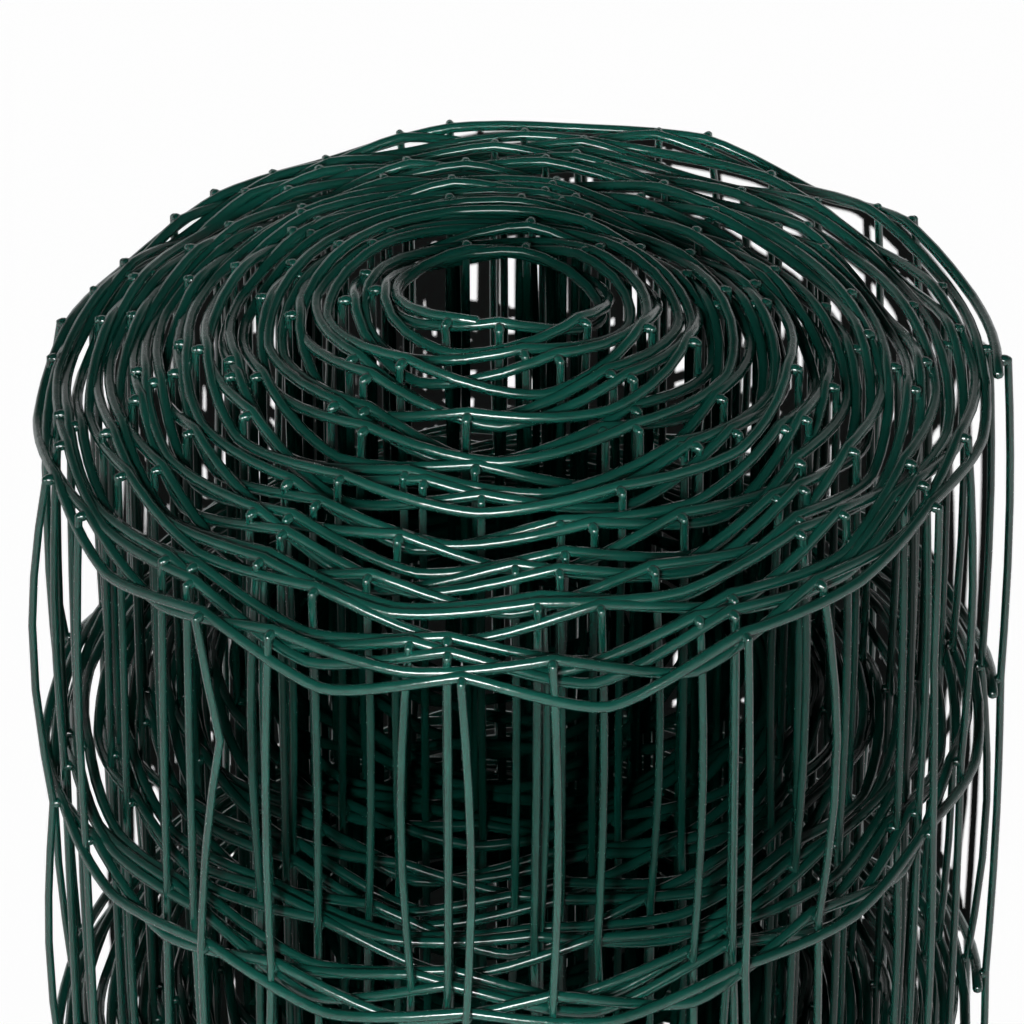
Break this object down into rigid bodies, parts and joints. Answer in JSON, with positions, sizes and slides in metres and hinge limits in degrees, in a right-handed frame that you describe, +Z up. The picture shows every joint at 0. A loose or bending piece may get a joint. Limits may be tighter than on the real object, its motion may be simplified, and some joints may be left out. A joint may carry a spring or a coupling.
{
  "type": "roll of welded wire fencing",
  "caption": "Upright roll of green plastic-coated welded wire fencing with crimped line wires, wound up around an open bore, for unrolling between fence posts.",
  "frame": {"origin": "centre of the bore at the level of the floor that the roll stands on", "axes": "+Z up along the axis of the roll, -Y towards the side seen in front"},
  "size_m": [0.246, 0.2458, 1.05],
  "materials": {
    "green_pvc": "glossy dark green PVC coating on steel wire"
  },
  "bodies": {
    "root": {"mesh_roll": "green_pvc"}
  },
  "joints": []
}
